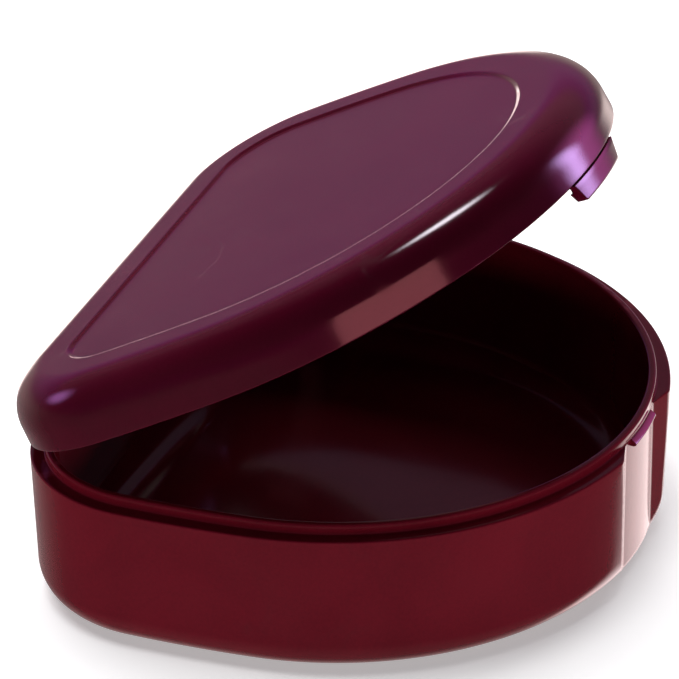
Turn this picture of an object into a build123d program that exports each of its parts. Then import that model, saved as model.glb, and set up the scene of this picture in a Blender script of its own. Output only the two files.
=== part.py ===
"""Two-piece moulded case for a mouthguard: a tray and a lid on a snap-in hinge, lid standing part-open.

Millimetres. +Z up, -Y towards the rounded nose with the latch, +Y towards the hinge, X across.
The origin is the centre of the tray's flat underside.
"""
import os
from math import asin, cos, degrees, radians, sin, sqrt

from build123d import *

# ---- plan outline, at the level where lid and tray meet ----
BACK_HALF = 24.0        # half of the straight back edge
CORNER_R = 17.0         # back corners
CORNER_TURN = 88.4      # degrees that each back corner turns
SIDE_R = 148.0          # slight bulge of the sides
NOSE_R = 40.7           # the nose, nearly a half circle

# ---- tray ----
TRAY_H = 19.0           # underside to ledge
TRAY_DRAFT = 2.0        # outer wall leans in towards the underside, degrees
TRAY_BOTTOM_R = 4.8     # rounding round the underside
LEDGE_W = 1.75          # flat ledge that the lid rests on
LEDGE_EDGE_R = 0.25
LIP_T = 1.05            # raised lip inside the ledge
LIP_H = 1.3
LIP_EDGE_R = 0.4
FLOOR_T = 2.0
POCKET_DRAFT = 3.0
POCKET_R = 5.0          # rounding between inner wall and floor

# ---- latch recess and catch in the tray's nose ----
RECESS_OUT_HALF = 9.2   # half width where the ramps leave the outer wall
RECESS_IN_HALF = 5.4    # half width where the ramps meet the recess floor
RECESS_DEPTH = 1.7
CATCH_HALF = 4.1
CATCH_OUT = 0.7         # how far the catch stands off the recess floor
CATCH_TIP_TOP = -0.5    # heights from the ledge
CATCH_TIP_LOW = -0.75
CATCH_UNDER = -0.9

# ---- lid ----
LID_H = 7.5             # ledge to top
LID_SEAT_GAP = 0.05     # under the skirt when shut
LID_DRAFT = 2.3
LID_TOP_R = 5.3
SKIRT_T = 1.45
ROOF_T = 2.0            # under the label panel
LID_INNER_R = 3.5
PANEL_INSET = 8.9
PANEL_DEPTH = 0.35
PANEL_WALL_LEAN = 55.0

# ---- latch tab on the lid's nose ----
TAB_TOP_HALF = 7.0
TAB_LOW_HALF = 5.8
TAB_DROP = 2.6          # below the skirt
TAB_ROOT = 1.4          # how far the tab runs up inside the skirt wall
TAB_PROUD = 0.15        # outer face stands off the skirt
TAB_CORNER_R = 0.5
NECK_IN = 0.9           # inner face of the tab's neck, in from the outline
HOOK_IN = 1.35          # tip of the hook, in from the outline
HOOK_TOP = -1.05
HOOK_TIP_LOW = -1.35
HOOK_FOOT_IN = 1.15

# ---- hinge: tray ears with a bar between them, lid clips snapped over the bars ----
HINGE_BACK = 2.2        # bar centre behind the back wall
HINGE_UP = 1.05         # bar centre above the ledge
BAR_R = 1.0
CLIP_BORE_R = 1.05
KNUCKLE_R = 1.9
HINGE_X = 14.0          # middle of each hinge from the centre plane
CLIP_W = 6.0
EAR_GAP = 6.6           # between the ears of one hinge
EAR_T = 1.8
EAR_FOOT = 8.5          # ear's root below the ledge
CLIP_MOUTH = 100.0      # degrees left open so that the clip snaps on

# ---- pose ----
OPEN_ANGLE = 28.5       # the lid stands this far open
EPS = 1.0               # overrun of cutting shapes and roots

CORNER_X = BACK_HALF + CORNER_R * sin(radians(CORNER_TURN))
SIDE_END = 180 - degrees(asin((SIDE_R * sin(radians(CORNER_TURN)) - CORNER_X) / (SIDE_R - NOSE_R)))
HALF_DEPTH = (
    CORNER_R * (1 - cos(radians(CORNER_TURN)))
    + SIDE_R * (cos(radians(CORNER_TURN)) - cos(radians(SIDE_END)))
    + NOSE_R * (1 + cos(radians(SIDE_END)))
) / 2
NOSE_Y = NOSE_R - HALF_DEPTH          # centre of the nose arc
HINGE_Y = HALF_DEPTH + HINGE_BACK
HINGE_Z = TRAY_H + HINGE_UP


def case_outline(inset):
    """Closed D-shaped outline, moved in from the outer wall by inset."""
    with BuildSketch() as plan:
        with BuildLine():
            nose_start = (0, inset - HALF_DEPTH)
            nose = JernArc(nose_start, (1, 0), NOSE_R - inset, 180 - SIDE_END)
            side = JernArc(nose @ 1, nose % 1, SIDE_R - inset, SIDE_END - CORNER_TURN)
            corner = JernArc(side @ 1, side % 1, CORNER_R - inset, CORNER_TURN)
            Line(corner @ 1, (0, HALF_DEPTH - inset))
            mirror(about=Plane.YZ)
        make_face()
    return plan.sketch


def nose_y(x, inset):
    """Y of the nose wall at x, moved in by inset."""
    return NOSE_Y - sqrt((NOSE_R - inset) ** 2 - x**2)


# ---- planes: the lid is drawn shut, in a plane that the hinge has already turned ----
turn = radians(OPEN_ANGLE)
lid_origin = (
    0,
    HINGE_Y - HINGE_Y * cos(turn) - HINGE_UP * sin(turn),
    HINGE_Z + HINGE_Y * sin(turn) - HINGE_UP * cos(turn),
)
lid_plane = Plane(origin=lid_origin, x_dir=(1, 0, 0), z_dir=(0, sin(turn), cos(turn)))
lid_up = Axis(lid_origin, (0, sin(turn), cos(turn)))
tray_top = Plane.XY.offset(TRAY_H)
nose_axis = Axis((0, NOSE_Y, 0), (0, 0, 1))
half_catch = degrees(asin(CATCH_HALF / (NOSE_R - RECESS_DEPTH)))
half_tab = degrees(asin((TAB_TOP_HALF + 0.4) / NOSE_R))

# ---- latch catch: a wedge swept round the recess floor ----
with BuildPart() as catch:
    with BuildSketch(Plane.YZ):
        with BuildLine():
            floor_y = nose_y(0, RECESS_DEPTH)
            Polyline(
                (floor_y + EPS, TRAY_H),
                (floor_y, TRAY_H),
                (floor_y - CATCH_OUT, TRAY_H + CATCH_TIP_TOP),
                (floor_y - CATCH_OUT, TRAY_H + CATCH_TIP_LOW),
                (floor_y - CATCH_OUT / 2, TRAY_H + CATCH_UNDER),
                (floor_y + EPS, TRAY_H + CATCH_UNDER),
                close=True,
            )
        make_face()
    revolve(axis=nose_axis, revolution_arc=2 * half_catch)
catch_piece = catch.part.rotate(nose_axis, -half_catch)

# ---- tray ears: a plate on each side of a clip, with the bar between ----
with BuildPart() as ears:
    for centre in (-HINGE_X, HINGE_X):
        for start in (centre - EAR_GAP / 2 - EAR_T, centre + EAR_GAP / 2):
            with BuildSketch(Plane.YZ.offset(start)):
                with Locations((HINGE_Y, HINGE_Z)):
                    Circle(KNUCKLE_R)
                with BuildLine():
                    Polyline(
                        (HALF_DEPTH - EPS, TRAY_H - 0.4),
                        (HALF_DEPTH + 0.35, TRAY_H - 0.4),
                        (HINGE_Y, HINGE_Z),
                        (HINGE_Y + KNUCKLE_R, HINGE_Z),
                        (HINGE_Y + KNUCKLE_R, TRAY_H - 2.5),
                        (HALF_DEPTH - EPS, TRAY_H - EAR_FOOT),
                        close=True,
                    )
                make_face()
            extrude(amount=EAR_T)
        with BuildSketch(Plane.YZ.offset(centre - EAR_GAP / 2 - EPS)):
            with Locations((HINGE_Y, HINGE_Z)):
                Circle(BAR_R)
        extrude(amount=EAR_GAP + 2 * EPS)

# ---- tray ----
with BuildPart() as tray:
    with BuildSketch(tray_top):
        add(case_outline(0))
    extrude(amount=-TRAY_H, taper=TRAY_DRAFT)
    fillet(tray.faces().sort_by(Axis.Z)[0].edges(), TRAY_BOTTOM_R)
    fillet(tray.faces().sort_by(Axis.Z)[-1].edges(), LEDGE_EDGE_R)
    with BuildSketch(tray_top):
        add(case_outline(LEDGE_W))
    extrude(amount=LIP_H)
    with BuildSketch(tray_top.offset(LIP_H)):
        add(case_outline(LEDGE_W + LIP_T))
    extrude(amount=FLOOR_T - TRAY_H - LIP_H, taper=POCKET_DRAFT, mode=Mode.SUBTRACT)
    fillet(tray.faces().filter_by(Axis.Z).group_by(Axis.Z)[1].edges(), POCKET_R)
    fillet(tray.faces().sort_by(Axis.Z)[-1].edges(), LIP_EDGE_R)
    with BuildSketch(Plane.XY.offset(-EPS)):
        with BuildLine():
            run = RECESS_OUT_HALF - RECESS_IN_HALF
            rise = nose_y(RECESS_IN_HALF, RECESS_DEPTH) - nose_y(RECESS_OUT_HALF, 0)
            out_x = RECESS_OUT_HALF + 2 * run
            out_y = nose_y(RECESS_OUT_HALF, 0) - 2 * rise
            in_x = RECESS_IN_HALF - run / 4
            in_y = nose_y(RECESS_IN_HALF, RECESS_DEPTH) + rise / 4
            Polyline((-out_x, out_y), (-in_x, in_y), (in_x, in_y), (out_x, out_y), close=True)
        make_face()
        add(case_outline(RECESS_DEPTH), mode=Mode.SUBTRACT)
    extrude(amount=TRAY_H + EPS, mode=Mode.SUBTRACT)
    add(catch_piece)
    add(ears.part)
tray.part.label = "tray"

# ---- latch tab: neck and hook swept round the nose, ends trimmed to a taper ----
with BuildPart() as tab:
    with BuildSketch(Plane.YZ):
        with BuildLine():
            Polyline(
                (nose_y(0, -TAB_PROUD), 0),
                (nose_y(0, 0.5), 0),
                (nose_y(0, 0.5), TAB_ROOT),
                (nose_y(0, NECK_IN), TAB_ROOT),
                (nose_y(0, NECK_IN), HOOK_TOP),
                (nose_y(0, HOOK_IN), HOOK_TOP),
                (nose_y(0, HOOK_IN), HOOK_TIP_LOW),
                (nose_y(0, HOOK_FOOT_IN), -TAB_DROP),
                (nose_y(0, -TAB_PROUD), -TAB_DROP),
                close=True,
            )
        make_face()
    revolve(axis=nose_axis, revolution_arc=2 * half_tab)
tab_sweep = tab.part.rotate(nose_axis, -half_tab)
with BuildPart() as tab_trim:
    with BuildSketch(Plane.XZ.offset(HALF_DEPTH - 5)) as trim:
        with BuildLine():
            Polyline(
                (-TAB_TOP_HALF, TAB_ROOT),
                (-TAB_TOP_HALF, 0),
                (-TAB_LOW_HALF, -TAB_DROP),
                (TAB_LOW_HALF, -TAB_DROP),
                (TAB_TOP_HALF, 0),
                (TAB_TOP_HALF, TAB_ROOT),
                close=True,
            )
        make_face()
        fillet(trim.vertices().group_by(Axis.Z)[0], TAB_CORNER_R)
    extrude(amount=10)
    add(tab_sweep, mode=Mode.INTERSECT)

# ---- lid clips: a C-shaped ring on a short arm for each bar ----
with BuildPart() as clips:
    for centre in (-HINGE_X, HINGE_X):
        with BuildSketch(Plane.YZ.offset(centre - CLIP_W / 2)):
            with Locations((HINGE_Y, HINGE_UP)):
                Circle(KNUCKLE_R)
            with BuildLine():
                Polyline(
                    (HALF_DEPTH - EPS, 0.25),
                    (HINGE_Y - CLIP_BORE_R, 0.25),
                    (HINGE_Y, HINGE_UP),
                    (HINGE_Y, HINGE_UP + KNUCKLE_R),
                    (HALF_DEPTH - EPS, HINGE_UP + KNUCKLE_R + 0.6),
                    close=True,
                )
            make_face()
            with Locations((HINGE_Y, HINGE_UP)):
                Circle(CLIP_BORE_R, mode=Mode.SUBTRACT)
            with BuildLine():
                mouth = radians(CLIP_MOUTH / 2)
                Polyline(
                    (HINGE_Y, HINGE_UP),
                    (HINGE_Y - 3 * sin(mouth), HINGE_UP - 3 * cos(mouth)),
                    (HINGE_Y + 3 * sin(mouth), HINGE_UP - 3 * cos(mouth)),
                    close=True,
                )
            make_face(mode=Mode.SUBTRACT)
        extrude(amount=CLIP_W)

# ---- lid: skirt and roof, hollow below ----
with BuildPart() as lid_hollow:
    with BuildSketch():
        add(case_outline(SKIRT_T))
    extrude(amount=LID_H - PANEL_DEPTH - ROOF_T, taper=LID_DRAFT)
    fillet(lid_hollow.faces().sort_by(Axis.Z)[-1].edges(), LID_INNER_R)
with BuildPart() as lid:
    with BuildSketch(lid_plane.offset(LID_SEAT_GAP)):
        add(case_outline(0))
    extrude(amount=LID_H - LID_SEAT_GAP, taper=LID_DRAFT)
    fillet(lid.faces().sort_by(lid_up)[-1].edges(), LID_TOP_R)
    add(lid_plane.location * lid_hollow.part, mode=Mode.SUBTRACT)
    with BuildSketch(lid_plane.offset(LID_H)):
        add(case_outline(PANEL_INSET))
    extrude(amount=-PANEL_DEPTH, taper=PANEL_WALL_LEAN, mode=Mode.SUBTRACT)
    add(lid_plane.location * tab_trim.part)
    add(lid_plane.location * clips.part)
lid.part.label = "lid"

os.makedirs("parts", exist_ok=True)
export_step(tray.part, "parts/tray.step")
export_step(lid.part, "parts/lid.step")
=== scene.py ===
from math import asin, atan2, ceil, cos, degrees, pi, radians, sin, sqrt, tan

import bmesh
import bpy
from mathutils import Matrix, Vector


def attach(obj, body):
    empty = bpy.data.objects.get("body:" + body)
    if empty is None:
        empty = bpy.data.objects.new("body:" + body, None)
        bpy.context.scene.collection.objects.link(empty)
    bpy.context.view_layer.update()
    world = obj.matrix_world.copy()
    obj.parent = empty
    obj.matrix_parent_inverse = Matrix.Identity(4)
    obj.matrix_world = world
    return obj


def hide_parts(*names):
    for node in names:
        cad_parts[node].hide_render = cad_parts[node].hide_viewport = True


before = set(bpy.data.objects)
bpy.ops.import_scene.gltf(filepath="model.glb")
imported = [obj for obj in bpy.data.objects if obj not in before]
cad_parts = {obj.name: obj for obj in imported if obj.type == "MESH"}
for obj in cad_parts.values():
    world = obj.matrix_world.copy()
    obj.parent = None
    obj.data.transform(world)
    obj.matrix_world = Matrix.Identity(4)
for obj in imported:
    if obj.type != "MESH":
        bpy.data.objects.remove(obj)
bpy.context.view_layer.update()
scene = bpy.context.scene
MM = 0.001

# ------------------------------------------------ plan outline, in mm as in the CAD
BACK_HALF = 24.0         # half of the straight back edge
CORNER_R = 17.0          # back corners
CORNER_TURN = radians(88.4)
SIDE_R = 148.0           # slight bulge of the sides
NOSE_R = 40.7            # the nose, nearly a half circle

# ------------------------------------------------ tray
TRAY_H = 19.0            # underside to ledge
TRAY_DRAFT = 2.0         # outer wall leans in towards the underside, degrees
TRAY_BOTTOM_R = 4.8
LEDGE_W = 1.75           # flat ledge that the lid rests on
LEDGE_EDGE_R = 0.25
LIP_T = 1.05             # raised lip inside the ledge
LIP_H = 1.3
LIP_EDGE_R = 0.4
FLOOR_T = 2.0
POCKET_DRAFT = 3.0
POCKET_R = 5.0           # rounding between inner wall and floor
RECESS_OUT_HALF = 9.2    # half width where the ramps leave the outer wall
RECESS_IN_HALF = 5.4     # half width where the ramps meet the recess floor
RECESS_DEPTH = 1.7
RECESS_FOOT = 0.2        # the recess stops this far above the underside
LEDGE_ZONE = 2.0         # below the ledge, where its rounded edge follows the recess
RAMP_FOOT_BLEND = 0.12   # rounding where a ramp meets the recess floor
RAMP_TOP_BLEND = 0.3     # rounding where a ramp meets the outer wall
CATCH_HALF = 4.1
CATCH_OUT = 0.7          # how far the catch stands off the recess floor
CATCH_ROOT = 0.8         # how far it runs into the wall
CATCH_TIP_TOP = -0.5     # heights from the ledge
CATCH_TIP_LOW = -0.75
CATCH_UNDER = -0.9

# ------------------------------------------------ lid
LID_H = 7.5              # ledge to top
LID_SEAT_GAP = 0.05      # under the skirt when shut
LID_DRAFT = 2.3
LID_TOP_R = 5.3
SKIRT_T = 1.45
SKIRT_OUTER_R = 0.2      # rounding of the skirt's lower edges
SKIRT_INNER_R = 0.15
ROOF_T = 2.0             # under the label panel
LID_INNER_R = 3.5
PANEL_INSET = 8.9
PANEL_DEPTH = 0.35
PANEL_RAMP = 0.75        # width of the rounded wall round the label panel
FLAT_ROW = 0.08          # narrow rows beside it keep the shading of the flats flat
TAB_TOP_HALF = 7.0
TAB_LOW_HALF = 5.8
TAB_DROP = 2.6           # below the skirt
TAB_ROOT = 1.4           # how far the tab runs up inside the skirt wall
TAB_ROOT_IN = 0.5
TAB_PROUD = 0.15         # outer face stands off the skirt
TAB_CORNER_R = 0.5
NECK_IN = 0.9            # inner face of the tab's neck, in from the outline
HOOK_IN = 1.35           # tip of the hook, in from the outline
HOOK_TOP = -1.05
HOOK_TIP_LOW = -1.35

# ------------------------------------------------ hinge
HINGE_BACK = 2.2         # bar centre behind the back wall
HINGE_UP = 1.05          # bar centre above the ledge
BAR_R = 1.0
BAR_ROOT = 0.9           # how far each end of a bar runs into its ear
CLIP_BORE_R = 1.05
KNUCKLE_R = 1.9
HINGE_X = 14.0           # middle of each hinge from the centre plane
CLIP_W = 6.0
CLIP_LOW = 0.25          # underside of the clip's arm above the ledge
CLIP_ARM_RISE = 0.6      # the arm is this much taller at the lid than at the ring
CLIP_MOUTH = 100.0       # degrees left open
EAR_GAP = 6.6            # between the ears of one hinge
EAR_T = 1.8
EAR_FOOT = 8.5           # ear's root below the ledge
EAR_BACK = 2.5           # where the ear's back edge ends, below the ledge
EAR_TOP = 0.4            # top of the ear where it leaves the wall, below the ledge
EAR_SHELF = 0.35         # width of that top
ROOT = 1.0               # how far ears and clips run into the back wall
OPEN_ANGLE = 28.5        # the lid stands this far open

# ------------------------------------------------ where the flat middles begin, in from the wall
UNDERSIDE_IN = 13.0
FLOOR_IN = 14.0
PANEL_IN = 13.5
CEILING_IN = 14.0

# ------------------------------------------------ worked out from the above
CORNER_X = BACK_HALF + CORNER_R * sin(CORNER_TURN)
SIDE_END = pi - asin((SIDE_R * sin(CORNER_TURN) - CORNER_X) / (SIDE_R - NOSE_R))
HALF_DEPTH = (
    CORNER_R * (1 - cos(CORNER_TURN))
    + SIDE_R * (cos(CORNER_TURN) - cos(SIDE_END))
    + NOSE_R * (1 + cos(SIDE_END))
) / 2
NOSE_Y = NOSE_R - HALF_DEPTH          # centre of the nose arc
HINGE_Y = HALF_DEPTH + HINGE_BACK
LID_CEILING = LID_H - PANEL_DEPTH - ROOF_T

# ------------------------------------------------ fineness of the meshes
LATCH_TURN = radians(17)              # the nose is divided more finely within this turn, where the recess is
BEVEL_FROM = radians(32)              # sharper edges than this are bevelled
SMOOTH_TO = radians(50)               # edges up to this are shaded smooth

# ------------------------------------------------ camera
CAMERA_AZIMUTH = radians(-69.38)
CAMERA_ELEVATION = radians(28.95)
CAMERA_ROLL = radians(-0.335)
CAMERA_TARGET = Vector((0.01586, 0.01155, 0.014))
CAMERA_DISTANCE = 0.6268
CAMERA_LENS = 263.124
SENSOR_WIDTH = 36

# ------------------------------------------------ surroundings seen in reflections
BEYOND = (0.936, 0.352, 0.0)          # level and away from the camera, where the surroundings are brightest
WALLS = [                # colour by the height of a direction, from straight down to straight up
    (-1.0, (0.90, 0.60, 0.58)),
    (-0.88, (0.33, 0.27, 0.27)),
    (-0.3, (0.40, 0.33, 0.315)),
    (-0.15, (0.30, 0.24, 0.26)),
    (-0.05, (0.20, 0.12, 0.21)),
    (0.1, (0.24, 0.12, 0.29)),
    (0.3, (0.20, 0.07, 0.26)),
    (0.45, (0.20, 0.13, 0.18)),
    (0.6, (0.18, 0.12, 0.17)),
    (1.0, (0.05, 0.03, 0.08)),
]
CARD_WAY = (0.83, -0.24, -0.50)       # a bright patch that the latch recess reflects
CARD = 6.5
GLARE_WAY = (0.83, 0.47, -0.30)       # a smaller one, for the near edge of the label panel
GLARE = 9.0


# ------------------------------------------------ shapes, in mm
def outline():
    """Points round the case at the outer wall, as (x, y, normal x, normal y), anticlockwise from the nose."""
    corner = Vector((BACK_HALF, HALF_DEPTH - CORNER_R))
    side = corner - (SIDE_R - CORNER_R) * Vector((sin(CORNER_TURN), cos(CORNER_TURN)))
    nose = Vector((0, NOSE_Y))
    arcs = [
        (nose, NOSE_R, pi, pi - LATCH_TURN, 0.14),
        (nose, NOSE_R, pi - LATCH_TURN, SIDE_END, 0.8),
        (side, SIDE_R, SIDE_END, CORNER_TURN, 0.8),
        (corner, CORNER_R, CORNER_TURN, 0, 0.5),
    ]
    half = []
    for centre, radius, start, end, step in arcs:
        count = ceil(abs(start - end) * radius / step)
        for i in range(count):
            turn = start + (end - start) * i / count
            half.append((centre.x + radius * sin(turn), centre.y + radius * cos(turn), sin(turn), cos(turn)))
    count = ceil(BACK_HALF / 1.2)
    half += [(BACK_HALF * (1 - i / count), HALF_DEPTH, 0.0, 1.0) for i in range(count + 1)]
    return half + [(-x, y, -nx, ny) for x, y, nx, ny in half[-2:0:-1]]


def arc(centre, radius, start, end, count):
    """Points of an arc in a section, angles in degrees from the section's first axis to its second."""
    turns = [radians(start + (end - start) * i / count) for i in range(count + 1)]
    return [(centre[0] + radius * cos(turn), centre[1] + radius * sin(turn)) for turn in turns]


def line(start, end, count):
    """Points between start and end, with end and without start."""
    return [
        (start[0] + (end[0] - start[0]) * i / count, start[1] + (end[1] - start[1]) * i / count)
        for i in range(1, count + 1)
    ]


def skin(name, loops, bevel=0.0):
    """A closed object between successive loops of vertices, with a flat cap on the first and the last."""
    bm = bmesh.new()
    rows = [[bm.verts.new(point) for point in loop] for loop in loops]
    count = len(rows[0])
    for near, far in zip(rows, rows[1:]):
        for i in range(count):
            j = (i + 1) % count
            bm.faces.new((near[i], near[j], far[j], far[i]))
    bm.faces.new(rows[0][::-1])
    bm.faces.new(rows[-1])
    bmesh.ops.recalc_face_normals(bm, faces=bm.faces)
    if bevel:
        edges = [e for e in bm.edges if len(e.link_faces) == 2 and e.calc_face_angle() > BEVEL_FROM]
        bmesh.ops.bevel(
            bm, geom=edges, offset=bevel, offset_type="OFFSET", segments=3, profile=0.5,
            affect="EDGES", clamp_overlap=True,
        )
    mesh = bpy.data.meshes.new(name)
    bm.to_mesh(mesh)
    bm.free()
    mesh.transform(Matrix.Scale(MM, 4))
    mesh.shade_smooth()
    mesh.set_sharp_from_angle(angle=SMOOTH_TO)
    obj = bpy.data.objects.new(name, mesh)
    scene.collection.objects.link(obj)
    return obj


def sweep(name, section, inset_at=None):
    """A section of (inset, height) points swept round the outline; inset_at may change the insets."""
    ring = outline()
    loops = []
    for inset, height in section:
        loop = []
        for x, y, nx, ny in ring:
            moved = inset_at(x, y, inset, height) if inset_at else inset
            loop.append((x - nx * moved, y - ny * moved, height))
        loops.append(loop)
    return skin(name, loops)


def prism(name, side_view, x_start, x_end, bevel):
    """A plate with a (y, z) outline between two x values."""
    return skin(name, [[(x, y, z) for y, z in side_view] for x in (x_start, x_end)], bevel)


def nose_sweep(name, section, half_at, bevel):
    """A closed (inset, height) section swept round the nose, its half width given at each height."""
    steps = 48
    loops = []
    for i in range(steps + 1):
        share = 2 * i / steps - 1
        loop = []
        for inset, z in section:
            turn = share * asin(half_at(z) / NOSE_R)
            radius = NOSE_R - inset
            loop.append((radius * sin(turn), NOSE_Y - radius * cos(turn), z))
        loops.append(loop)
    return skin(name, loops, bevel)


# ------------------------------------------------ tray
def soft_max(a, b, blend):
    """The larger of two values, with a rounded change from one to the other."""
    near = max(blend - abs(a - b), 0) / blend
    return max(a, b) + near * near * blend / 4


def recess_depth(x, y):
    """How far the latch recess goes in at this place on the outer wall: a flat floor between two ramps."""
    turn = abs(atan2(x, NOSE_Y - y))
    if turn > LATCH_TURN:
        return 0.0
    floor_y = sqrt((NOSE_R - RECESS_DEPTH) ** 2 - RECESS_IN_HALF**2)
    wall_y = sqrt(NOSE_R**2 - RECESS_OUT_HALF**2)
    normal_x, normal_y = wall_y - floor_y, RECESS_IN_HALF - RECESS_OUT_HALF
    reach = (normal_x * RECESS_IN_HALF + normal_y * floor_y) / (normal_x * sin(turn) + normal_y * cos(turn))
    depth = -soft_max(reach - NOSE_R, -RECESS_DEPTH, RAMP_FOOT_BLEND)
    return soft_max(depth, 0.0, RAMP_TOP_BLEND)


def recessed(x, y, inset, z):
    """The inset of the tray's wall and ledge with the latch recess taken out."""
    if inset >= LEDGE_W or z > TRAY_H + 0.01:
        return inset
    depth = recess_depth(x, y)
    if z > TRAY_H - LEDGE_ZONE:
        return depth + inset * (LEDGE_W - depth) / LEDGE_W
    return max(inset, depth) if z > RECESS_FOOT else inset


def tray_section():
    lean = tan(radians(TRAY_DRAFT))
    bottom_in = (TRAY_H - TRAY_BOTTOM_R) * lean + TRAY_BOTTOM_R / cos(radians(TRAY_DRAFT))
    points = [(UNDERSIDE_IN, 0.0)] + line((UNDERSIDE_IN, 0.0), (bottom_in + 0.4, 0.0), 3)
    points += arc((bottom_in, TRAY_BOTTOM_R), TRAY_BOTTOM_R, -90, -180 + TRAY_DRAFT, 16)
    edge = (LEDGE_EDGE_R, TRAY_H - LEDGE_EDGE_R)
    points += line(points[-1], ((TRAY_H - edge[1]) * lean, edge[1]), 8)
    points += arc(edge, LEDGE_EDGE_R, 180, 90, 5)[1:]
    points += line(points[-1], (LEDGE_W - 0.12, TRAY_H), 4)
    points += [(LEDGE_W - 0.05, TRAY_H + 0.02), (LEDGE_W, TRAY_H + 0.1)]
    lip_round = TRAY_H + LIP_H - LIP_EDGE_R
    points += line(points[-1], (LEDGE_W, lip_round), 3)
    points += arc((LEDGE_W + LIP_EDGE_R, lip_round), LIP_EDGE_R, 180, 90, 7)[1:]
    inner = LEDGE_W + LIP_T
    points += arc((inner - LIP_EDGE_R, lip_round), LIP_EDGE_R, 90, POCKET_DRAFT, 7)
    lean = tan(radians(POCKET_DRAFT))
    depth = TRAY_H + LIP_H - FLOOR_T
    pocket_in = inner + (depth - POCKET_R) * lean + POCKET_R / cos(radians(POCKET_DRAFT))
    bend = arc((pocket_in, FLOOR_T + POCKET_R), POCKET_R, 180 + POCKET_DRAFT, 270, 16)
    points += line(points[-1], bend[0], 6) + bend[1:]
    return points + line(points[-1], (FLOOR_IN, FLOOR_T), 3)


def make_catch():
    tip = RECESS_DEPTH - CATCH_OUT
    section = [
        (RECESS_DEPTH + CATCH_ROOT, TRAY_H),
        (RECESS_DEPTH - 0.02, TRAY_H),
        (tip, TRAY_H + CATCH_TIP_TOP),
        (tip, TRAY_H + CATCH_TIP_LOW),
        (RECESS_DEPTH - CATCH_OUT / 2, TRAY_H + CATCH_UNDER),
        (RECESS_DEPTH + CATCH_ROOT, TRAY_H + CATCH_UNDER),
    ]
    return nose_sweep("tray_catch", section, lambda z: CATCH_HALF, 0.1)


def make_tray():
    shell = sweep("tray_shell", tray_section(), recessed)
    pieces = [shell, make_catch()]
    hinge_z = TRAY_H + HINGE_UP
    ear_top = TRAY_H - EAR_TOP
    to_shelf = degrees(atan2(hinge_z - ear_top, HINGE_BACK - EAR_SHELF))
    ear = [(HALF_DEPTH - ROOT, ear_top), (HALF_DEPTH + EAR_SHELF, ear_top)]
    ear += arc((HINGE_Y, hinge_z), KNUCKLE_R, 180 + to_shelf, 0, 28)
    ear += [(HINGE_Y + KNUCKLE_R, TRAY_H - EAR_BACK), (HALF_DEPTH - ROOT, TRAY_H - EAR_FOOT)]
    bar = arc((HINGE_Y, hinge_z), BAR_R, 0, 360, 40)[:-1]
    bar_half = EAR_GAP / 2 + BAR_ROOT
    for side, centre in (("left", -HINGE_X), ("right", HINGE_X)):
        for end, start in (("outer", EAR_GAP / 2), ("inner", -EAR_GAP / 2 - EAR_T)):
            x = centre + start if centre > 0 else centre - start - EAR_T
            pieces.append(prism(f"tray_ear_{side}_{end}", ear, x, x + EAR_T, 0.15))
        pieces.append(prism(f"tray_bar_{side}", bar, centre - bar_half, centre + bar_half, 0))
    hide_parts("tray")
    return pieces


# ------------------------------------------------ lid, drawn shut with the ledge at height 0
def lid_section():
    panel = LID_H - PANEL_DEPTH
    panel_edge = PANEL_INSET + PANEL_RAMP
    points = [(PANEL_IN, panel)] + line((PANEL_IN, panel), (panel_edge + FLAT_ROW, panel), 4)
    ramp_steps = 10
    for i in range(ramp_steps + 1):
        share = i / ramp_steps
        points.append((panel_edge - PANEL_RAMP * share, LID_H - PANEL_DEPTH * (0.5 + 0.5 * cos(pi * share))))
    points.append((PANEL_INSET - FLAT_ROW, LID_H))
    lean = tan(radians(LID_DRAFT))
    top_in = (LID_H - LID_TOP_R) * lean + LID_TOP_R / cos(radians(LID_DRAFT))
    points += line(points[-1], (top_in + 0.3, LID_H), 6)
    points += arc((top_in, LID_H - LID_TOP_R), LID_TOP_R, 90, 180 - LID_DRAFT, 22)
    skirt_round = LID_SEAT_GAP + SKIRT_OUTER_R
    points += line(points[-1], (lean * skirt_round, skirt_round), 6)
    points += arc((SKIRT_OUTER_R, skirt_round), SKIRT_OUTER_R, 180, 270, 4)[1:]
    inner_edge = (SKIRT_T - SKIRT_INNER_R, LID_SEAT_GAP + SKIRT_INNER_R)
    points += line(points[-1], (inner_edge[0], LID_SEAT_GAP), 3)
    points += arc(inner_edge, SKIRT_INNER_R, 270, 360, 4)[1:]
    rise = LID_CEILING - LID_INNER_R
    bend_in = SKIRT_T + rise * lean + LID_INNER_R / cos(radians(LID_DRAFT))
    bend = arc((bend_in, rise), LID_INNER_R, 180 - LID_DRAFT, 90, 12)
    points += line(points[-1], bend[0], 5) + bend[1:]
    return points + line(points[-1], (CEILING_IN, LID_CEILING), 3)


def tab_half(z):
    """Half width of the latch tab at a height: it tapers below the skirt's edge and has rounded ends."""
    if z >= 0:
        return TAB_TOP_HALF
    half = TAB_TOP_HALF + (TAB_LOW_HALF - TAB_TOP_HALF) * -z / TAB_DROP
    above_end = z + TAB_DROP
    if above_end >= TAB_CORNER_R:
        return half
    return half - (TAB_CORNER_R - sqrt(max(TAB_CORNER_R**2 - (TAB_CORNER_R - above_end) ** 2, 0)))


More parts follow.
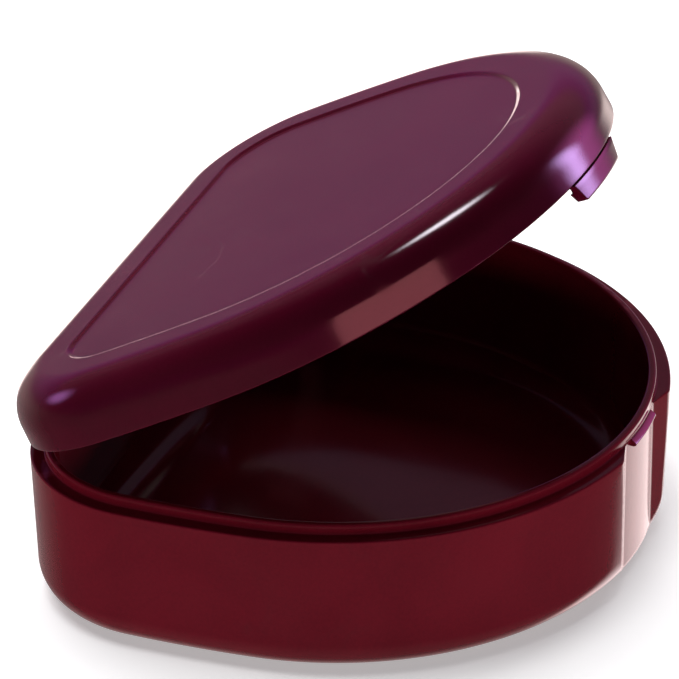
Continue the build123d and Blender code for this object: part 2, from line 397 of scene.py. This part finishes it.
def make_tab():
    section = [(-TAB_PROUD, z) for z in (0.0, -0.7, -1.4, -2.1, -2.2, -2.3)]
    section += [(-0.14, -2.4), (-0.1, -2.52), (0.0, -2.58), (0.1, -TAB_DROP)]
    section += [(1.05, -TAB_DROP), (1.15, -2.54), (1.2, -2.3)]
    section += [(HOOK_IN, HOOK_TIP_LOW), (HOOK_IN, HOOK_TOP), (NECK_IN, HOOK_TOP)]
    section += [(NECK_IN, TAB_ROOT), (TAB_ROOT_IN, TAB_ROOT), (TAB_ROOT_IN, 0.0)]
    return nose_sweep("lid_latch_tab", section, tab_half, 0.06)


def make_lid():
    shell = sweep("lid_shell", lid_section())
    pieces = [shell, make_tab()]
    pin = (HINGE_Y, HINGE_UP)
    mouth = CLIP_MOUTH / 2
    to_arm = degrees(asin((HINGE_UP - CLIP_LOW) / KNUCKLE_R))
    clip = arc(pin, KNUCKLE_R, 180 + to_arm, 270 - mouth, 6)
    clip += arc(pin, CLIP_BORE_R, 270 - mouth, -90 + mouth, 36)
    clip += arc(pin, KNUCKLE_R, -90 + mouth, 90, 24)
    clip += [(HALF_DEPTH - ROOT, HINGE_UP + KNUCKLE_R + CLIP_ARM_RISE), (HALF_DEPTH - ROOT, CLIP_LOW)]
    for side, centre in (("left", -HINGE_X), ("right", HINGE_X)):
        pieces.append(prism(f"lid_clip_{side}", clip, centre - CLIP_W / 2, centre + CLIP_W / 2, 0.12))
    opened = (
        Matrix.Translation((0, HINGE_Y * MM, (TRAY_H + HINGE_UP) * MM))
        @ Matrix.Rotation(-radians(OPEN_ANGLE), 4, "X")
        @ Matrix.Translation((0, -HINGE_Y * MM, -HINGE_UP * MM))
    )
    for piece in pieces:
        piece.data.transform(opened)
    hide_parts("lid")
    return pieces


# ------------------------------------------------ camera
def make_camera():
    """Left of the case and a little in front, 29 degrees up, with a long lens."""
    back = Vector((
        sin(CAMERA_AZIMUTH) * cos(CAMERA_ELEVATION),
        -cos(CAMERA_AZIMUTH) * cos(CAMERA_ELEVATION),
        sin(CAMERA_ELEVATION),
    ))
    right = (-back).cross(Vector((0, 0, 1))).normalized()
    up = right.cross(-back)
    rolled_right = cos(CAMERA_ROLL) * right + sin(CAMERA_ROLL) * up
    rolled_up = -sin(CAMERA_ROLL) * right + cos(CAMERA_ROLL) * up
    data = bpy.data.cameras.new("camera")
    data.sensor_width = SENSOR_WIDTH
    data.lens = CAMERA_LENS
    data.clip_start = 0.01
    data.clip_end = 50
    camera = bpy.data.objects.new("camera", data)
    scene.collection.objects.link(camera)
    placed = Matrix((rolled_right, rolled_up, back)).transposed().to_4x4()
    placed.translation = CAMERA_TARGET + back * CAMERA_DISTANCE
    camera.matrix_world = placed
    scene.camera = camera


# ------------------------------------------------ materials
class Nodes:
    """A new material's node tree, with short ways to add and link its nodes."""

    def __init__(self, name):
        self.material = bpy.data.materials.new(name)
        self.material.use_nodes = True
        self.tree = self.material.node_tree
        self.tree.nodes.clear()
        output = self.add("ShaderNodeOutputMaterial")
        self.shader = self.add("ShaderNodeBsdfPrincipled")
        self.link(self.shader, "BSDF", output, "Surface")

    def add(self, kind, settings=None, **values):
        node = self.tree.nodes.new(kind)
        for key, value in (settings or {}).items():
            setattr(node, key, value)
        for key, value in values.items():
            node.inputs[key.replace("_", " ")].default_value = value
        return node

    def link(self, source, output, target, socket):
        self.tree.links.new(source.outputs[output], target.inputs[socket])

    def combine(self, operation, first, first_output, second, second_output, factor=None):
        """first * second, or first * factor + second where a factor is given."""
        node = self.add("ShaderNodeMath", {"operation": operation})
        self.link(first, first_output, node, 0)
        if factor is None:
            self.link(second, second_output, node, 1)
        else:
            node.inputs[1].default_value = factor
            self.link(second, second_output, node, 2)
        return node

    def ramp(self, source, output, stops):
        """A colour ramp, with a colour or a single grey level at each stop."""
        node = self.add("ShaderNodeValToRGB")
        while len(node.color_ramp.elements) < len(stops):
            node.color_ramp.elements.new(0.5)
        for element, (position, colour) in zip(node.color_ramp.elements, stops):
            element.position = position
            element.color = (*colour, 1) if isinstance(colour, tuple) else (colour, colour, colour, 1)
        self.link(source, output, node, "Fac")
        return node


def plastic(name, light, dark, edge, rough):
    """Moulded gloss plastic: cloudy pigment with specks, paler convex edges (partly wear, partly a painted
    edge highlight), hairline scuffs, orange peel.
    """
    nodes = Nodes(name)
    coords = nodes.add("ShaderNodeTexCoord")

    def noise(**values):
        node = nodes.add("ShaderNodeTexNoise", **values)
        nodes.link(coords, "Object", node, "Vector")
        return node

    cloud = noise(Scale=55.0, Detail=4.0, Roughness=0.55, Distortion=0.8)
    speck = noise(Scale=2600.0, Detail=2.0, Roughness=0.6)
    pigment = nodes.combine("MULTIPLY_ADD", speck, "Fac", cloud, "Fac", 0.6)
    body = nodes.ramp(pigment, "Value", [(0.55, dark), (1.05, light)])
    # Convex edges fade to the edge colour: partly wear, partly a painted highlight along the edges.
    shape = nodes.add("ShaderNodeNewGeometry")
    uneven = noise(Scale=420.0, Detail=4.0)
    rubbed_and_highlit = nodes.combine("MULTIPLY_ADD", uneven, "Fac", shape, "Pointiness", 0.06)
    worn_and_highlit = nodes.ramp(rubbed_and_highlit, "Value", [(0.565, 0.0), (0.66, 1.0)])
    colour = nodes.add("ShaderNodeMix", {"data_type": "RGBA"})
    colour_a, colour_b, mixed = colour.inputs[6], colour.inputs[7], colour.outputs[2]
    nodes.link(worn_and_highlit, "Color", colour, "Factor")
    nodes.tree.links.new(body.outputs["Color"], colour_a)
    colour_b.default_value = (*edge, 1)
    nodes.tree.links.new(mixed, nodes.shader.inputs["Base Color"])

    smear = noise(Scale=140.0, Detail=6.0, Roughness=0.6, Distortion=0.4)
    shine = nodes.ramp(smear, "Fac", [(0.3, rough[0]), (0.75, rough[1])])
    strands = noise(Scale=38.0, Detail=1.0, Distortion=2.5)
    hairs = nodes.ramp(strands, "Fac", [(0.492, 0.0), (0.5, 1.0), (0.508, 0.0)])
    patches = nodes.ramp(noise(Scale=60.0, Detail=2.0), "Fac", [(0.52, 0.0), (0.62, 1.0)])
    scuff = nodes.combine("MULTIPLY", hairs, "Color", patches, "Color")
    scuffed = nodes.combine("MULTIPLY_ADD", scuff, "Value", shine, "Color", 0.10)
    nodes.link(scuffed, "Value", nodes.shader, "Roughness")

    peel = noise(Scale=700.0, Detail=3.0, Roughness=0.5)
    height = nodes.combine("MULTIPLY_ADD", scuff, "Value", peel, "Fac", -0.3)
    bump = nodes.add("ShaderNodeBump", Strength=0.14, Distance=0.00004)
    nodes.link(height, "Value", bump, "Height")
    nodes.link(bump, "Normal", nodes.shader, "Normal")
    nodes.shader.inputs["IOR"].default_value = 1.5
    return nodes.material


# ------------------------------------------------ stage and light
def make_floor():
    """A plain white floor. It gives off a little light and isn't seen in reflections."""
    bpy.ops.mesh.primitive_plane_add(size=8, location=(0, 0, 0))
    floor = bpy.context.object
    floor.name = "floor"
    nodes = Nodes("floor")
    grain = nodes.add("ShaderNodeTexNoise", Scale=4.0)
    shade = nodes.ramp(grain, "Fac", [(0.0, (0.88, 0.88, 0.885)), (1.0, (0.92, 0.92, 0.92))])
    nodes.link(shade, "Color", nodes.shader, "Base Color")
    nodes.shader.inputs["Roughness"].default_value = 0.9
    nodes.shader.inputs["Specular IOR Level"].default_value = 0.1
    nodes.shader.inputs["Emission Color"].default_value = (1, 1, 1, 1)
    nodes.shader.inputs["Emission Strength"].default_value = 0.40
    floor.data.materials.append(nodes.material)
    floor.visible_glossy = False
    return floor


def add_fade(tree, source, given, wanted):
    """Adds a smooth change from one range of values to another, and returns its output."""
    node = tree.nodes.new("ShaderNodeMapRange")
    node.interpolation_type = "SMOOTHSTEP"
    node.inputs["From Min"].default_value, node.inputs["From Max"].default_value = given
    node.inputs["To Min"].default_value, node.inputs["To Max"].default_value = wanted
    tree.links.new(source, node.inputs["Value"])
    return node.outputs["Result"]


def make_world():
    """The surroundings in reflections: bright beyond the case, dark overhead and behind the camera."""
    world = bpy.data.worlds.new("studio")
    scene.world = world
    world.use_nodes = True
    tree = world.node_tree
    background = tree.nodes["Background"]
    coords = tree.nodes.new("ShaderNodeTexCoord")

    def toward(direction, given, wanted):
        dot = tree.nodes.new("ShaderNodeVectorMath")
        dot.operation = "DOT_PRODUCT"
        dot.inputs[1].default_value = Vector(direction).normalized()
        tree.links.new(coords.outputs["Generated"], dot.inputs[0])
        return add_fade(tree, dot.outputs["Value"], given, wanted)

    walls = tree.nodes.new("ShaderNodeValToRGB")
    stops = walls.color_ramp.elements
    while len(stops) < len(WALLS):
        stops.new(0.5)
    for stop, (height, colour) in zip(stops, WALLS):
        stop.position = (height + 1) / 2
        stop.color = (*colour, 1)
    patches = tree.nodes.new("ShaderNodeMath")
    strength = tree.nodes.new("ShaderNodeMath")
    tree.links.new(toward((0, 0, 1), (-1, 1), (0, 1)), walls.inputs["Fac"])
    tree.links.new(toward(CARD_WAY, (0.90, 0.985), (0.0, CARD)), patches.inputs[0])
    tree.links.new(toward(GLARE_WAY, (0.978, 0.995), (0.0, GLARE)), patches.inputs[1])
    tree.links.new(toward(BEYOND, (0.1, 0.85), (0.2, 1.0)), strength.inputs[0])
    tree.links.new(patches.outputs[0], strength.inputs[1])
    tree.links.new(walls.outputs["Color"], background.inputs["Color"])
    tree.links.new(strength.outputs[0], background.inputs["Strength"])


def softbox(name, direction, size, power, colour=(1, 1, 1), along=None, soft=False, only=None):
    """An area light 1 m from the case, its width turned along a vector.

    soft: fades to its edges. only: the pieces it reaches.
    """
    data = bpy.data.lights.new(name, "AREA")
    data.shape = "RECTANGLE"
    data.size, data.size_y = size
    data.energy = power
    data.color = colour
    if soft:
        data.use_nodes = True
        tree = data.node_tree
        place = tree.nodes.new("ShaderNodeNewGeometry")
        from_middle = tree.nodes.new("ShaderNodeVectorMath")
        from_middle.operation = "DISTANCE"
        from_middle.inputs[1].default_value = (0.5, 0.5, 0)
        tree.links.new(place.outputs["Parametric"], from_middle.inputs[0])
        fade = add_fade(tree, from_middle.outputs["Value"], (0.08, 0.5), (1.0, 0.0))
        tree.links.new(fade, tree.nodes["Emission"].inputs["Strength"])
    light = bpy.data.objects.new(name, data)
    scene.collection.objects.link(light)
    back = Vector(direction).normalized()
    across = Vector(along) if along else Vector((0, 0, 1)).cross(back)
    across = (across - across.dot(back) * back).normalized()
    placed = Matrix((across, back.cross(across), back)).transposed().to_4x4()
    placed.translation = Vector((0, 0, 0.03)) + back
    light.matrix_world = placed
    if only:
        reached = bpy.data.collections.new(name)
        for piece in only:
            reached.objects.link(piece)
        light.light_linking.receiver_collection = reached
    return light


def light_plainly(floor, tray_pieces, lid_pieces):
    """The body of the light, which isn't seen in reflections."""
    warm = (1.0, 0.88, 0.85)
    for light in (
        softbox("key", (0.05, 0.25, 0.95), (0.8, 0.8), 11.5, only=[floor]),
        softbox("tray_key", (0.5, 0.5, 0.7), (0.9, 0.9), 2.6, (1, 0.8, 1), only=tray_pieces),
        softbox("lid_key", (0.45, 0.56, 0.68), (0.7, 0.7), 11.5, only=lid_pieces),
        softbox("back", (0.85, 0.0, 0.5), (0.8, 0.5), 4.5),
        softbox("low_fill", (-0.80, -0.59, 0.05), (1.3, 0.07), 2.8, warm, only=tray_pieces),
        softbox("corner_fill", (-0.22, 0.97, 0.08), (0.5, 0.1), 4.6, warm, only=tray_pieces),
        softbox("nose_fill", (0.50, -0.86, 0.08), (0.5, 0.1), 3.8, (1.0, 0.88, 0.88), only=tray_pieces),
    ):
        light.visible_glossy = False


def light_highlights(catch, lid_pieces):
    """The highlights on the lid and the catch, from softboxes that are seen only in reflections."""
    nose_side = lid_pieces + [catch]
    violet, magenta, lilac = (0.66, 0.45, 1.0), (0.90, 0.16, 0.60), (0.82, 0.32, 1.0)
    pale, pink = (0.98, 0.90, 1.0), (1.0, 0.30, 0.33)
    for light in (
        softbox("nose_light", (0.695, -0.671, 0.26), (0.34, 0.85), 10.5, violet, soft=True, only=nose_side),
        softbox("nose_glow", (0.76, -0.58, 0.22), (0.90, 1.20), 8.5, magenta, soft=True, only=nose_side),
        softbox("corner_light", (-0.05, 0.96, 0.22), (0.50, 0.45), 2.3, lilac, soft=True, only=lid_pieces),
        softbox(
            "strip", (0.2, 0.07, 0.97), (0.56, 0.26), 11.0, pale,
            along=(0.75, -0.66, 0), soft=True, only=lid_pieces,
        ),
        softbox(
            "window", (-0.69, -0.70, 0.24), (0.72, 0.74), 5.0, pink,
            along=(0.68, -0.68, 0.34), only=lid_pieces,
        ),
    ):
        light.visible_diffuse = False


make_camera()
floor = make_floor()
make_world()
# edge: the paler colour of convex edges, partly wear and partly a painted edge highlight.
tray_plastic = plastic(
    "tray_plastic", light=(0.128, 0.0050, 0.013), dark=(0.098, 0.0035, 0.010),
    edge=(0.20, 0.02, 0.035), rough=(0.09, 0.14),
)
# The lid is the same plastic as the tray; its darker, more violet colours are painted shade and a painted
# violet tint from the light above.
lid_plastic = plastic(
    "lid_plastic", light=(0.090, 0.0022, 0.0145), dark=(0.074, 0.0018, 0.0115),
    edge=(0.16, 0.02, 0.05), rough=(0.10, 0.14),
)
tray_pieces = make_tray()
lid_pieces = make_lid()
for body, pieces, material in (("tray", tray_pieces, tray_plastic), ("lid", lid_pieces, lid_plastic)):
    for piece in pieces:
        piece.data.materials.append(material)
        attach(piece, body)
light_plainly(floor, tray_pieces, lid_pieces)
light_highlights(tray_pieces[1], lid_pieces)

scene.view_settings.view_transform = "Standard"
bpy.context.view_layer.update()
